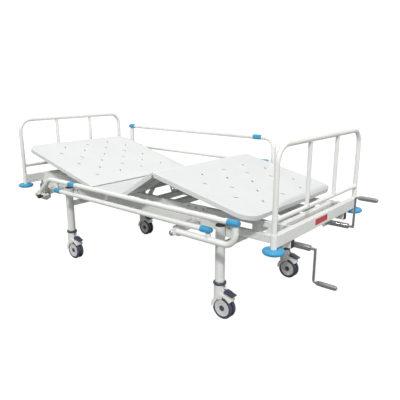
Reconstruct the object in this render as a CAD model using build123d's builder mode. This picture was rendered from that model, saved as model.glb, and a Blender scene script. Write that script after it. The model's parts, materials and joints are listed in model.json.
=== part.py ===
from build123d import *
import os
from math import sin, cos, tan, radians

os.makedirs("parts", exist_ok=True)

# ---------------------------------------------------------------------------
# Two-crank hospital bed on four braked castors, with two collapsible side
# rails.  Millimetres.  +X points to the foot end, +Y to the far side, +Z up.
# The origin is on the floor, at the middle of the overall box; the cranks
# reach past the foot end, so the middle of the bed lies at mid_x.
# ---------------------------------------------------------------------------

# --- driving dimensions ----------------------------------------------------
mid_x = -81.25                     # middle of the bed frame

board_half = 1065.0                # bed middle to each board's plane
post_y = 455.0                     # board posts and corner sockets
post_r = 12.5                      # board tube
socket_r, socket_bore = 16.0, 12.6
socket_z0, socket_z1 = 510.0, 578.0
board_top_z = 976.0                # centre line of the top rail
board_bend_r = 84.0
board_mid_z = 644.0                # centre line of the lower cross rail
board_bar_y = 153.0
board_bar_r = 10.5

beam_depth, beam_z0, beam_z1 = 30.0, 515.0, 575.0

rail_y0, rail_y1 = 290.0, 320.0    # longitudinal main rail
rail_z0, rail_z1 = 475.0, 515.0
deck_y0, deck_y1 = 270.0, 300.0    # longitudinal deck rail
deck_z0, deck_z1 = 545.0, 575.0
wall = 2.5

leg_x = {"head": mid_x - 670.0, "foot": mid_x + 682.0}
leg_y = 350.1
leg_r = 26.0
leg_z0, leg_z1 = 206.0, 516.0

wheel_r, wheel_trail, wheel_half = 62.5, 32.0, 24.0

top_z = 603.0                      # lying surface
sheet = 2.0
flange = 26.0
pan_half = 450.0
corner_r = 90.0
axis_z = 595.0                     # back and thigh hinge axes
back_hinge_x = mid_x - 253.0
thigh_hinge_x = mid_x + 24.0
back_len, thigh_len, leg_len = 785.0, 306.0, 663.0
back_angle, thigh_angle, leg_angle = 14.0, 31.5, 12.0   # as modelled
hinge_y = 285.0
knee_y = 254.0
hole_r = 11.0

screw_y, screw_z = 227.0, 465.0
crank_arm = 168.0

rail_plane_y = 500.0               # side rail, plane of bars and uprights
pivot_z = 475.5
pivot_foot_x = mid_x + 485.0
pivot_head_x = mid_x - 815.0
pin_u, pin_w = 400.0, 128.0        # upper pin from the pivot, rail down
low_u, low_w = 236.0, 62.0         # lower pin from the pivot, rail down
bar_r, upright_r, cap_r = 14.3, 16.0, 17.0

corners = {
    "head_near": ("head", -1), "head_far": ("head", 1),
    "foot_near": ("foot", -1), "foot_far": ("foot", 1),
}
board_x = {"head": mid_x - board_half, "foot": mid_x + board_half}

# --- main rails: two rectangular tubes under the end beams ------------------
with BuildPart() as main_rails:
    with BuildSketch(Plane.YZ.offset(mid_x - board_half - 13)):
        with Locations((-(rail_y0 + rail_y1) / 2, (rail_z0 + rail_z1) / 2),
                       ((rail_y0 + rail_y1) / 2, (rail_z0 + rail_z1) / 2)):
            RectangleRounded(rail_y1 - rail_y0, rail_z1 - rail_z0, 3)
            RectangleRounded(rail_y1 - rail_y0 - 2 * wall, rail_z1 - rail_z0 - 2 * wall, 1,
                             mode=Mode.SUBTRACT)
    extrude(amount=2 * board_half + 26)
main_rails.part.label = "main_rails"
export_step(main_rails.part, "parts/main_rails.step")

# --- end beams: coped onto the corner sockets --------------------------------
with BuildPart() as end_beams:
    with BuildSketch(Plane.XZ.offset(-(post_y - 5))):
        with Locations((board_x["head"], (beam_z0 + beam_z1) / 2),
                       (board_x["foot"], (beam_z0 + beam_z1) / 2)):
            RectangleRounded(beam_depth, beam_z1 - beam_z0, 3.5)
            RectangleRounded(beam_depth - 2 * wall, beam_z1 - beam_z0 - 2 * wall, 1.5,
                             mode=Mode.SUBTRACT)
    extrude(amount=2 * (post_y - 5))
    with Locations(*[(board_x[e], s * post_y, 545) for e, s in corners.values()]):
        Cylinder(socket_r + 0.05, 80, mode=Mode.SUBTRACT)
end_beams.part.label = "end_beams"
export_step(end_beams.part, "parts/end_beams.step")

# --- corner sockets that the board posts drop into ---------------------------
with BuildPart() as corner_sockets:
    with BuildSketch(Plane.XY.offset(socket_z0)):
        with Locations(*[(board_x[e], s * post_y) for e, s in corners.values()]):
            Circle(socket_r)
    extrude(amount=socket_z1 - socket_z0)
    with BuildSketch(Plane.XY.offset(socket_z0 + 4)):
        with Locations(*[(board_x[e], s * post_y) for e, s in corners.values()]):
            Circle(socket_bore)
    extrude(amount=100, mode=Mode.SUBTRACT)
    chamfer(corner_sockets.edges().filter_by(GeomType.CIRCLE).group_by(Axis.Z)[-1], 0.8)
    with BuildSketch(Plane.XY.offset(socket_z0 - 1)):
        with Locations(*[(board_x[e], s * post_y) for e, s in corners.values()]):
            Circle(5.05)
    extrude(amount=8, mode=Mode.SUBTRACT)
corner_sockets.part.label = "corner_sockets"
export_step(corner_sockets.part, "parts/corner_sockets.step")

# --- roller bumpers under the four corners ------------------------------------
for name, (end, side) in corners.items():
    spot = Plane(origin=(board_x[end], side * post_y, 0), x_dir=(1, 0, 0), z_dir=(0, -1, 0))
    with BuildPart() as bumper:
        with BuildSketch(spot):
            with BuildLine():
                Polyline((5.08, 489), (11, 489), (11, 484), (33, 484), (40, 485.1), (46, 487.7),
                         (50.5, 492), (52.5, 497.5), (51.5, 502.5), (48, 506.6), (42, 509.4),
                         (34, 510.8), (20, 511), (17.5, 509.4), (17.5, 502), (5.08, 502), close=True)
            make_face()
        revolve(axis=Axis(spot.origin, (0, 0, 1)))
    bumper.part.label = f"bumper_{name}"
    export_step(bumper.part, f"parts/bumper_{name}.step")

# --- bumper studs: shoulder above, head sunk below, nut inside the socket ------
with BuildPart() as bumper_studs:
    for end, side in corners.values():
        spot = Plane(origin=(board_x[end], side * post_y, 0), x_dir=(1, 0, 0), z_dir=(0, -1, 0))
        with BuildSketch(spot):
            with BuildLine():
                Polyline((0, 481), (8, 481), (9, 482), (9, 488.7), (5, 488.7), (5, 502.3),
                         (15, 502.3), (15, socket_z0), (5, socket_z0), (5, socket_z0 + 4),
                         (8, socket_z0 + 4), (8, socket_z0 + 9), (0, socket_z0 + 9), close=True)
            make_face()
        revolve(axis=Axis(spot.origin, (0, 0, 1)))
bumper_studs.part.label = "bumper_studs"
export_step(bumper_studs.part, "parts/bumper_studs.step")

# bolts through the frame plates: x, middle of the plate in y, z
plate_bolts = [(lx + dx, rail_y1 + 2.05, dz) for lx in leg_x.values()
               for dx, dz in ((66, 506), (36, 506), (-34, 506))] + \
              [(mid_x + dx, deck_y1 + 2.05, 567) for dx in (420, 474, 530)]

# --- frame plates: corner gussets, leg plates, deck joint plates ---------------
with BuildPart() as frame_plates:
    for side in (-1, 1):
        # corner gussets stand on the main rails against the end beams
        with BuildSketch(Plane.XZ.offset(-side * 300 if side > 0 else 304)):
            for sx in (-1, 1):
                with BuildLine():
                    Polyline((mid_x + sx * 1049.9, rail_z1 + 0.1), (mid_x + sx * 925, rail_z1 + 0.1),
                             (mid_x + sx * 925, rail_z1 + 6), (mid_x + sx * 962, 575.5),
                             (mid_x + sx * 1049.9, 575.5), close=True)
                make_face()
        extrude(amount=-4)
        # leg plates lie on the main rail's outer face, behind each leg
        with BuildSketch(Plane.XZ.offset(-side * (rail_y1 + 0.05) if side > 0 else rail_y1 + 4.05)):
            for lx in leg_x.values():
                with BuildLine():
                    Polyline((lx - 42, 528), (lx + 68, 528), (lx + 84, 518), (lx + 86, 500),
                             (lx + 44, 452), (lx - 30, 452), (lx - 42, 474), close=True)
                make_face()
        extrude(amount=-4)
        # joint plates on the deck rail's outer face
        with BuildSketch(Plane.XZ.offset(-side * (deck_y1 + 0.05) if side > 0 else deck_y1 + 4.05)):
            with BuildLine():
                Polyline((mid_x + 396, deck_z0 + 1), (mid_x + 396, 576), (mid_x + 404, 584),
                         (mid_x + 548, 586), (mid_x + 552, 580), (mid_x + 552, deck_z0 + 1),
                         close=True)
            make_face()
        extrude(amount=-4)
    with Locations(*[Location((bx, s * by, bz), (90, 0, 0)) for s in (-1, 1)
                     for bx, by, bz in plate_bolts]):
        Cylinder(4.1, 4.6, mode=Mode.SUBTRACT)
frame_plates.part.label = "frame_plates"
export_step(frame_plates.part, "parts/frame_plates.step")

# --- frame fasteners: hexagon bolts of the plates and of the rail brackets --------
bracket_bolts = [(px + dx, rail_y1 + 2.5, 495) for px in (pivot_foot_x, pivot_head_x)
                 for dx in (-34, 34)]
with BuildPart() as frame_bolts:
    for side in (-1, 1):
        for bx, by, bz, thick in [(*b, 4.0) for b in plate_bolts] + \
                                 [(*b, 5.0) for b in bracket_bolts]:
            spot = Plane(origin=(bx, side * (by + thick / 2 + 0.05), bz), x_dir=(1, 0, 0),
                         z_dir=(0, side, 0))
            with BuildSketch(spot):
                RegularPolygon(7.5, 6)
            extrude(amount=5)
            with BuildSketch(spot):
                Circle(4)
            extrude(amount=-thick)
frame_bolts.part.label = "frame_bolts"
export_step(frame_bolts.part, "parts/frame_bolts.step")

# --- deck frame: two rails, cross members, spacers, seat bearers ---------------
with BuildPart() as deck_frame:
    with BuildSketch(Plane.YZ.offset(mid_x - board_half + beam_depth / 2)):
        with Locations((-(deck_y0 + deck_y1) / 2, (deck_z0 + deck_z1) / 2),
                       ((deck_y0 + deck_y1) / 2, (deck_z0 + deck_z1) / 2)):
            RectangleRounded(deck_y1 - deck_y0, deck_z1 - deck_z0, 3)
    extrude(amount=2 * board_half - beam_depth)
    with BuildSketch(Plane.XZ.offset(-(deck_y0 + 1))):
        for cx, cw in ((-930, 30), (-560, 30), (150, 30), (301, 50), (760, 30), (1000, 30)):
            with Locations((mid_x + cx, (deck_z0 + deck_z1) / 2)):
                RectangleRounded(cw, deck_z1 - deck_z0, 3)
                RectangleRounded(cw - 2 * wall, deck_z1 - deck_z0 - 2 * wall, 1, mode=Mode.SUBTRACT)
    extrude(amount=2 * (deck_y0 + 1))
    with BuildSketch(Plane.YZ.offset(mid_x - board_half + beam_depth / 2)):
        with Locations((-(deck_y0 + deck_y1) / 2, (deck_z0 + deck_z1) / 2),
                       ((deck_y0 + deck_y1) / 2, (deck_z0 + deck_z1) / 2)):
            RectangleRounded(deck_y1 - deck_y0 - 2 * wall, deck_z1 - deck_z0 - 2 * wall, 1)
    extrude(amount=2 * board_half - beam_depth, mode=Mode.SUBTRACT)
    with BuildSketch(Plane.XY.offset(rail_z1)):
        for px in (-860, -520, -120, 225, 640, 870):
            with Locations((mid_x + px, 295), (mid_x + px, -295)):
                Rectangle(50, 8)
    extrude(amount=deck_z0 - rail_z1 + 1)
    with BuildSketch(Plane.XZ.offset(-440)):
        for sx in (back_hinge_x + 66, thigh_hinge_x - 50):
            with Locations((sx, (deck_z1 + top_z - sheet) / 2)):
                Rectangle(20, top_z - sheet - deck_z1)
                Rectangle(16, top_z - sheet - deck_z1 - 4, mode=Mode.SUBTRACT)
    extrude(amount=880)
    # hinge ears on the deck rails, two to each hinge
    with BuildSketch(Plane.XZ.offset(-(hinge_y + 15))):
        for hx in (back_hinge_x, thigh_hinge_x):
            with Locations((hx, axis_z)):
                Circle(6.5)
            with Locations((hx, (axis_z + deck_z1 - 1) / 2)):
                Rectangle(13, axis_z - deck_z1 + 1)
            with Locations((hx, axis_z)):
                Circle(4.05, mode=Mode.SUBTRACT)
    extrude(amount=30)
    with BuildSketch(Plane.XZ.offset(hinge_y - 15)):
        for hx in (back_hinge_x, thigh_hinge_x):
            with Locations((hx, axis_z)):
                Circle(6.5)
            with Locations((hx, (axis_z + deck_z1 - 1) / 2)):
                Rectangle(13, axis_z - deck_z1 + 1)
            with Locations((hx, axis_z)):
                Circle(4.05, mode=Mode.SUBTRACT)
    extrude(amount=30)
    with Locations(*[(hx, s * hinge_y, axis_z - 5) for hx in (back_hinge_x, thigh_hinge_x)
                     for s in (-1, 1)]):
        Box(20, 16, 29.8, mode=Mode.SUBTRACT)
deck_frame.part.label = "deck_frame"
export_step(deck_frame.part, "parts/deck_frame.step")

# --- leg frames: four legs, joined in pairs by a cross tie ---------------------
with BuildPart() as leg_frames:
    with BuildSketch(Plane.XY.offset(leg_z0)):
        with Locations(*[(leg_x[e], s * leg_y) for e, s in corners.values()]):
            Circle(leg_r)
    extrude(amount=leg_z1 - leg_z0)
    with BuildSketch(Plane.XZ.offset(-leg_y)):
        with Locations(*[(lx, 401) for lx in leg_x.values()]):
            RectangleRounded(30, 32, 4)
            RectangleRounded(26, 28, 2, mode=Mode.SUBTRACT)
    extrude(amount=2 * leg_y)
    with BuildSketch(Plane.XY.offset(leg_z0)):
        with Locations(*[(leg_x[e], s * leg_y) for e, s in corners.values()]):
            Circle(leg_r - wall)
    extrude(amount=leg_z1 - leg_z0, mode=Mode.SUBTRACT)
leg_frames.part.label = "leg_frames"
export_step(leg_frames.part, "parts/leg_frames.step")

# --- caps closing the leg tubes -------------------------------------------------
with BuildPart() as leg_caps:
    with BuildSketch(Plane.XY.offset(leg_z1)):
        with Locations(*[(leg_x[e], s * leg_y) for e, s in corners.values()]):
            Circle(leg_r)
    extrude(amount=7)
    chamfer(leg_caps.edges().filter_by(GeomType.CIRCLE).group_by(Axis.Z)[-1], 2)
    with BuildSketch(Plane.XY.offset(leg_z1 - 14)):
        with Locations(*[(leg_x[e], s * leg_y) for e, s in corners.values()]):
            Circle(leg_r - wall - 0.05)
    extrude(amount=14)
leg_caps.part.label = "leg_caps"
export_step(leg_caps.part, "parts/leg_caps.step")

# --- castor sockets: plug in the leg, dark collar, kingpin with its clip head -----
with BuildPart() as castor_sockets:
    for end, side in corners.values():
        spot = Plane(origin=(leg_x[end], side * leg_y, 0), x_dir=(1, 0, 0), z_dir=(0, -1, 0))
        with BuildSketch(spot):
            with BuildLine():
                Polyline((0, 146), (9, 146), (9, 151.7), (6, 151.7), (6, 187.5), (31, 187.5), (35, 191.5),
                         (35, 201), (31, leg_z0), (leg_r - wall - 0.05, leg_z0),
                         (leg_r - wall - 0.05, 244), (0, 244), close=True)
            make_face()
        revolve(axis=Axis(spot.origin, (0, 0, 1)))
castor_sockets.part.label = "castor_sockets"
export_step(castor_sockets.part, "parts/castor_sockets.step")

# --- castors: swivel housing, twin wheel, brake pedal ----------------------------
for name, (end, side) in corners.items():
    spot = Plane(origin=(leg_x[end], side * leg_y, 0), x_dir=(1, 0, 0), z_dir=(0, -1, 0))
    with BuildPart() as castor_housing:
        # hood over the wheel
        with BuildSketch(spot):
            with Locations((wheel_trail, wheel_r)):
                Circle(wheel_r + 8)
            with BuildLine():
                Polyline((wheel_trail - 90, 40), (wheel_trail - 90, 66), (wheel_trail, wheel_r),
                         (wheel_trail + 90, 146), (wheel_trail + 90, -20), (wheel_trail - 90, -20),
                         close=True)
            make_face(mode=Mode.SUBTRACT)
        extrude(amount=wheel_half + 3, both=True)
        # kingpin boss and the pedal's saddle
        with BuildSketch(Plane(origin=(leg_x[end], side * leg_y, 112))):
            Circle(31)
        extrude(amount=187 - 112)
        with BuildSketch(spot):
            with BuildLine():
                Polyline((0, 120), (0, 180), (26, 176), (40, 162), (40, 128), close=True)
            make_face()
        extrude(amount=19, both=True)
        # room for the two wheel halves, leaving the web between them
        with BuildSketch(spot):
            with Locations((wheel_trail, wheel_r)):
                Circle(wheel_r + 4)
        extrude(amount=wheel_half + 4, both=True, mode=Mode.SUBTRACT)
        with BuildSketch(spot):
            with Locations((wheel_trail, wheel_r)):
                Circle(17)
            with BuildLine():
                Polyline((wheel_trail - 15, wheel_r), (wheel_trail - 46, 118), (wheel_trail - 8, 130),
                         (wheel_trail + 15, wheel_r), close=True)
            make_face()
            with Locations((wheel_trail, wheel_r)):
                Circle(6.08, mode=Mode.SUBTRACT)
        extrude(amount=3.5, both=True)
        # cheeks over the tyre's upper quarter, both sides
        for o in (-1, 1):
            with BuildSketch(spot.offset(o * (wheel_half + 0.6))):
                with Locations((wheel_trail, wheel_r)):
                    Circle(wheel_r + 8)
                with BuildLine():
                    Polyline((wheel_trail - 90, wheel_r - 2), (wheel_trail, wheel_r - 2),
                             (wheel_trail + 2, 150), (wheel_trail + 90, 150), (wheel_trail + 90, -20),
                             (wheel_trail - 90, -20), close=True)
                make_face(mode=Mode.SUBTRACT)
                with Locations((wheel_trail, wheel_r)):
                    Circle(50.8, mode=Mode.SUBTRACT)
            extrude(amount=o * 2.4)
        # kingpin bore with a pocket for the clip head
        with BuildSketch(Plane(origin=(leg_x[end], side * leg_y, 100))):
            Circle(6.08)
        extrude(amount=100, mode=Mode.SUBTRACT)
        with BuildSketch(Plane(origin=(leg_x[end], side * leg_y, 132))):
            Circle(9.5)
        extrude(amount=20, mode=Mode.SUBTRACT)
        # slot and pin for the pedal
        with BuildSketch(spot):
            with BuildLine():
                Polyline((22, 143), (22, 190), (60, 190), (60, 143), close=True)
            make_face()
        extrude(amount=8, both=True, mode=Mode.SUBTRACT)
        with BuildSketch(spot):
            with Locations((31, 155)):
                Circle(3.5)
        extrude(amount=15, both=True)
    castor_housing.part.label = f"castor_housing_{name}"
    export_step(castor_housing.part, f"parts/castor_housing_{name}.step")

    with BuildPart() as castor_wheel:
        with BuildSketch(Plane(origin=(leg_x[end] + wheel_trail, side * leg_y, wheel_r),
                               x_dir=(1, 0, 0), z_dir=(0, 0, 1))):
            with BuildLine():
                Polyline((0, 4), (18, 4), (20, 5.5), (56, 5.5), (60.5, 8), (62.5, 12), (62.5, 17),
                         (60.5, 21), (55, wheel_half), (49, wheel_half), (47, 21), (18, 21),
                         (16, wheel_half), (0, wheel_half), close=True)
            make_face()
            with BuildLine():
                Polyline((0, -4), (18, -4), (20, -5.5), (56, -5.5), (60.5, -8), (62.5, -12),
                         (62.5, -17), (60.5, -21), (55, -wheel_half), (49, -wheel_half), (47, -21),
                         (18, -21), (16, -wheel_half), (0, -wheel_half), close=True)
            make_face()
            with Locations((3, 0)):
                Rectangle(6, 12)
        revolve(axis=Axis((leg_x[end] + wheel_trail, side * leg_y, wheel_r), (0, 1, 0)))
    castor_wheel.part.label = f"castor_wheel_{name}"
    export_step(castor_wheel.part, f"parts/castor_wheel_{name}.step")

    with BuildPart() as castor_pedal:
        with BuildSketch(spot):
            with BuildLine():
                Polyline((31, 148.5), (31, 161.5), (44, 164), (60, 161.5), (82, 152.5), (98, 148.5),
                         (101.5, 145), (99, 140.5), (82, 144), (60, 150), (44, 149), close=True)
            make_face()
            with Locations((31, 155)):
                Circle(6.5)
        extrude(amount=18.5, both=True)
        with BuildSketch(spot):
            with Locations((28, 155)):
                Rectangle(29, 60)
        extrude(amount=22, both=True, mode=Mode.SUBTRACT)
        with BuildSketch(spot):
            with BuildLine():
                Polyline((31, 148.5), (31, 161.5), (44, 164), (44, 149), close=True)
            make_face()
            with Locations((31, 155)):
                Circle(6.5)
        extrude(amount=7.6, both=True)
        with BuildSketch(spot):
            with Locations((31, 155)):
                Circle(3.56)
        extrude(amount=10, both=True, mode=Mode.SUBTRACT)
    castor_pedal.part.label = f"castor_pedal_{name}"
    export_step(castor_pedal.part, f"parts/castor_pedal_{name}.step")

# --- end boards: bow, cross rail and two bars, welded, dropped into the sockets ------
for end in ("head", "foot"):
    across = Plane(origin=(board_x[end], 0, 0), x_dir=(0, 1, 0), z_dir=(1, 0, 0))
    with BuildPart() as end_board:
        with BuildLine(across) as bow:
            FilletPolyline((-post_y, socket_z0 + 4.1), (-post_y, board_top_z), (post_y, board_top_z),
                           (post_y, socket_z0 + 4.1), radius=board_bend_r)
        with BuildSketch(Plane(origin=bow.line @ 0, z_dir=(0, 0, 1))):
            Circle(post_r)
        sweep(path=bow.line)
        with BuildSketch(Plane(origin=(board_x[end], -post_y, board_mid_z), x_dir=(1, 0, 0),
                               z_dir=(0, 1, 0))):
            Circle(11)
        extrude(amount=2 * post_y)
        with BuildSketch(Plane(origin=(board_x[end], 0, board_mid_z))):
            with Locations((0, -board_bar_y), (0, board_bar_y)):
                Circle(board_bar_r)
        extrude(amount=board_top_z - board_mid_z)
        with BuildSketch(Plane(origin=bow.line @ 0, z_dir=(0, 0, 1))):
            Circle(post_r - 2)
        sweep(path=bow.line, mode=Mode.SUBTRACT)
    end_board.part.label = f"{end}_board"
    export_step(end_board.part, f"parts/{end}_board.step")

# --- lying surface ---------------------------------------------------------------------
# Each panel has its own plane: origin on its hinge axis, x along the panel away
# from the hinge, z out of the lying surface.
panel_up = top_z - axis_z                       # top face above the hinge axis
back_dir = (-cos(radians(back_angle)), 0, sin(radians(back_angle)))
back_plane = Plane(origin=(back_hinge_x, 0, axis_z), x_dir=back_dir,
                   z_dir=(sin(radians(back_angle)), 0, cos(radians(back_angle))))
thigh_dir = (cos(radians(thigh_angle)), 0, sin(radians(thigh_angle)))
thigh_plane = Plane(origin=(thigh_hinge_x, 0, axis_z), x_dir=thigh_dir,
                    z_dir=(-sin(radians(thigh_angle)), 0, cos(radians(thigh_angle))))
knee_at = (thigh_hinge_x + thigh_len * thigh_dir[0], 0, axis_z + thigh_len * thigh_dir[2])
leg_plane = Plane(origin=knee_at, x_dir=(cos(radians(leg_angle)), 0, -sin(radians(leg_angle))),
                  z_dir=(sin(radians(leg_angle)), 0, cos(radians(leg_angle))))

back_gap, thigh_gap, knee_gap = 6.5, 4.0, 5.2
slot_l, slot_w = 25.0, 8.0
back_slots = [(s, y) for s in (155, 361, 571) for y in (-300, -100, 100, 300)] + \
             [(s, y) for s in (256, 463, 676) for y in (-200, 0, 200)]
leg_slots = [(s, y) for s in (150, 362, 567) for y in (-200, 0, 200)] + \
            [(s, y) for s in (255, 464) for y in (-300, -100, 100, 300)]

# seat: fixed, open at its two hinge edges
with BuildPart() as seat_panel:
    with BuildSketch(Plane.XY.offset(top_z - flange)):
        with Locations(((back_hinge_x + back_gap + thigh_hinge_x - thigh_gap) / 2, 0)):
            Rectangle(thigh_hinge_x - thigh_gap - back_hinge_x - back_gap, 2 * pan_half)
    extrude(amount=flange)
    fillet(seat_panel.edges().filter_by(Axis.X).group_by(Axis.Z)[-1], 3)
    with BuildSketch(Plane.YZ.offset(back_hinge_x)):
        with Locations((0, (top_z - sheet + top_z - flange - 10) / 2)):
            Rectangle(2 * (pan_half - sheet), flange - sheet + 10)
    extrude(amount=thigh_hinge_x - back_hinge_x, mode=Mode.SUBTRACT)
seat_panel.part.label = "seat_panel"
export_step(seat_panel.part, "parts/seat_panel.step")

# back, thigh and leg panels
for name, plane, length, near_gap, far_gap, rounded, slots, mitre in (
        ("back_panel", back_plane, back_len, back_gap, 0.0, True, back_slots, 0.0),
        ("thigh_panel", thigh_plane, thigh_len, thigh_gap, knee_gap, False, [], -1.0),
        ("leg_panel", leg_plane, leg_len, knee_gap, 0.0, True, leg_slots, 1.0)):
    top = plane.offset(panel_up)
    edge_on = Plane(origin=plane.origin, x_dir=plane.x_dir, z_dir=-plane.y_dir)
    x1 = length - far_gap
    with BuildPart() as panel:
        with BuildSketch(top) as outline:
            with Locations(((near_gap + x1) / 2, 0)):
                Rectangle(x1 - near_gap, 2 * pan_half)
        extrude(amount=-flange)
        if rounded:
            fillet(panel.edges().filter_by(lambda e: e.geom_type == GeomType.LINE and
                   abs(abs((e % 0.5).dot(plane.z_dir)) - 1) < 1e-6 and
                   (e.center() - plane.origin).dot(plane.x_dir) > x1 - 1), corner_r)
        fillet(panel.edges().filter_by(lambda e: abs((e.center() - plane.origin).dot(plane.z_dir)
               - panel_up) < 0.01 and abs((e % 0.5).dot(plane.z_dir)) < 1e-6 and
               (abs((e.center() - plane.origin).dot(plane.y_dir)) > pan_half - corner_r + 5 or
                rounded and (e.center() - plane.origin).dot(plane.x_dir) > x1 - 1)), 3)
        # inside of the pan, open at the hinge edges
        with BuildSketch(top.offset(-sheet)):
            if rounded:
                with Locations(((x1 - sheet - 200) / 2, 0)):
                    RectangleRounded(x1 - sheet + 200, 2 * (pan_half - sheet), corner_r - sheet)
            else:
                with Locations((length / 2, 0)):
                    Rectangle(length + 40, 2 * (pan_half - sheet))
        extrude(amount=-flange, mode=Mode.SUBTRACT)
        if slots:
            with BuildSketch(top):
                for k, (s, y) in enumerate(slots):
                    with Locations(Location((s, y, 0), (0, 0, 35 if k % 2 else -35))):
                        SlotOverall(slot_l, slot_w)
            extrude(amount=-sheet - 1, mode=Mode.SUBTRACT)
        if mitre:
            # flanges cut back under the knee so that they never meet
            with BuildSketch(edge_on):
                with BuildLine():
                    if mitre > 0:
                        Polyline((0, -1), (knee_gap + 0.1, -1), (18, panel_up - flange - 1), (0, panel_up - flange - 1),
                                 close=True)
                    else:
                        Polyline((length, -1), (x1 - 0.1, -1), (length - 18, panel_up - flange - 1),
                                 (length, panel_up - flange - 1), close=True)
                make_face()
            extrude(amount=pan_half + 1, both=True, mode=Mode.SUBTRACT)
    panel.part.label = name
    export_step(panel.part, f"parts/{name}.step")

# --- sub-frames under the moving panels ---------------------------------------------------
tube = 22.0
tube_mid = panel_up - sheet - tube / 2          # under the sheet
lever_drop = axis_z - screw_z


def lever_points(lean, reach, tie_x):
    """Outline of a slotted drive lever leaning by `lean` degrees off square."""
    dx, dz = -sin(radians(lean)), -cos(radians(lean))
    mx, mz = -dz, dx
    end = [(reach * dx + o * 19 * mx, reach * dz + o * 19 * mz) for o in (1, -1)]
    neck = [(34 * dx + o * 19 * mx, 34 * dz + o * 19 * mz) for o in (1, -1)]
    return [(tie_x + 8, tube_mid), (tie_x + 8, tube_mid - tube / 2), neck[0], end[0], end[1],
            neck[1], (-10, -14), (tie_x - 8, tube_mid)]


for name, plane, length, run_y, runs, ties, lean, reach, slot_run, lever_y in (
        ("back_frame", back_plane, back_len, hinge_y, (12, 745), (46, 400, 733), 35.0, 183.0,
         (130.0, 160.0), screw_y),
        ("thigh_frame", thigh_plane, thigh_len, hinge_y, (12, thigh_len - 6), (46, 262), 20.0, 163.0,
         (130.0, 139.0), -screw_y),
        ("leg_frame", leg_plane, leg_len, knee_y, (26, 590), (38, 270, 560), 0.0, 0.0, None, 0.0)):
    edge_on = Plane(origin=plane.origin, x_dir=plane.x_dir, z_dir=-plane.y_dir)
    square_on = Plane(origin=plane.origin, x_dir=plane.y_dir, z_dir=plane.x_dir)
    with BuildPart() as sub_frame:
        with BuildSketch(square_on.offset(runs[0])):
            with Locations((-run_y, tube_mid), (run_y, tube_mid)):
                RectangleRounded(tube, tube, 2.5)
        extrude(amount=runs[1] - runs[0])
        with BuildSketch(edge_on.offset(-430)):
            with Locations(*[(t, tube_mid) for t in ties]):
                RectangleRounded(tube, tube, 2.5)
        extrude(amount=860)
        with BuildSketch(edge_on.offset(-431)):
            with Locations(*[(t, tube_mid) for t in ties]):
                RectangleRounded(tube - 4, tube - 4, 1)
        extrude(amount=862, mode=Mode.SUBTRACT)
        with BuildSketch(square_on.offset(runs[0] + 10)):
            with Locations((-run_y, tube_mid), (run_y, tube_mid)):
                RectangleRounded(tube - 4, tube - 4, 1)
        extrude(amount=runs[1] - runs[0] - 20, mode=Mode.SUBTRACT)
        if name != "leg_frame":
            # knuckles on the hinge axis, between the ears of the deck frame
            for side in (-1, 1):
                with BuildSketch(edge_on.offset(side * hinge_y - 7)):
                    Circle(6.5)
                    with Locations((8, 0)):
                        Rectangle(16, 9)
                    Circle(4.08, mode=Mode.SUBTRACT)
                extrude(amount=14)
            # slotted drive lever
            y = lever_y if plane.y_dir.Y > 0 else -lever_y
            with BuildSketch(Plane(origin=plane.origin + plane.y_dir * y, x_dir=plane.x_dir,
                                   z_dir=-plane.y_dir)):
                with BuildLine():
                    Polyline(*lever_points(lean, reach, ties[0]), close=True)
                make_face()
                mid = (slot_run[0] + slot_run[1]) / 2
                with Locations(Location((-mid * sin(radians(lean)), -mid * cos(radians(lean)), 0),
                                        (0, 0, 90 - lean))):
                    SlotCenterToCenter(slot_run[1] - slot_run[0], 24, mode=Mode.SUBTRACT)
            extrude(amount=3, both=True)
        if name == "thigh_frame":
            # round ridge on the knee axis, left open for the leg knuckles
            for y0, y1 in ((-448, -knee_y - 20.5), (-knee_y + 20.5, knee_y - 20.5),
                           (knee_y + 20.5, 448)):
                with BuildSketch(edge_on.offset(y0)):
                    with Locations((length, 0)):
                        Circle(7.5)
                        Circle(4.05, mode=Mode.SUBTRACT)
                extrude(amount=y1 - y0)
            with BuildSketch(edge_on):
                with Locations((length, 0)):
                    Circle(4.05)
            extrude(amount=460, both=True, mode=Mode.SUBTRACT)
            with BuildSketch(edge_on):
                with BuildLine():
                    Polyline((262, tube_mid - 4), (262, tube_mid + 4), (length - 6, 3),
                             (length - 6, -3), close=True)
                make_face()
            extrude(amount=3, both=True)
            for side in (-1, 1):
                with BuildSketch(edge_on.offset(side * knee_y - 20.5)):
                    with Locations((length, 0)):
                        Rectangle(30, 60)
                extrude(amount=41, mode=Mode.SUBTRACT)
            # knee pins, separate solids pressed through the ridge
            for side in (-1, 1):
                with BuildSketch(edge_on.offset(side * knee_y - 30)):
                    with Locations((length, 0)):
                        Circle(4)
                extrude(amount=60)
        if name == "leg_frame":
            for side in (-1, 1):
                with BuildSketch(edge_on.offset(side * knee_y - 20)):
                    Circle(7.5)
                    with BuildLine():
                        Polyline((0, -5.5), (0, 5.5), (28, tube_mid + 8.5), (28, tube_mid - 8.5),
                                 (14, -9), close=True)
                    make_face()
                    Circle(4.08, mode=Mode.SUBTRACT)
                extrude(amount=40)
    sub_frame.part.label = name
    export_step(sub_frame.part, f"parts/{name}.step")

# --- hinge pins of the back and thigh hinges -----------------------------------------------
with BuildPart() as hinge_pins:
    for hx in (back_hinge_x, thigh_hinge_x):
        for side in (-1, 1):
            with BuildSketch(Plane.XZ.offset(side * hinge_y - 19)):
                with Locations((hx, axis_z)):
                    Circle(4)
            extrude(amount=38)
            with BuildSketch(Plane.XZ.offset(side * hinge_y + 15.2)):
                with Locations((hx, axis_z)):
                    Circle(6)
            extrude(amount=3.8)
hinge_pins.part.label = "hinge_pins"
export_step(hinge_pins.part, "parts/hinge_pins.step")

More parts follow.
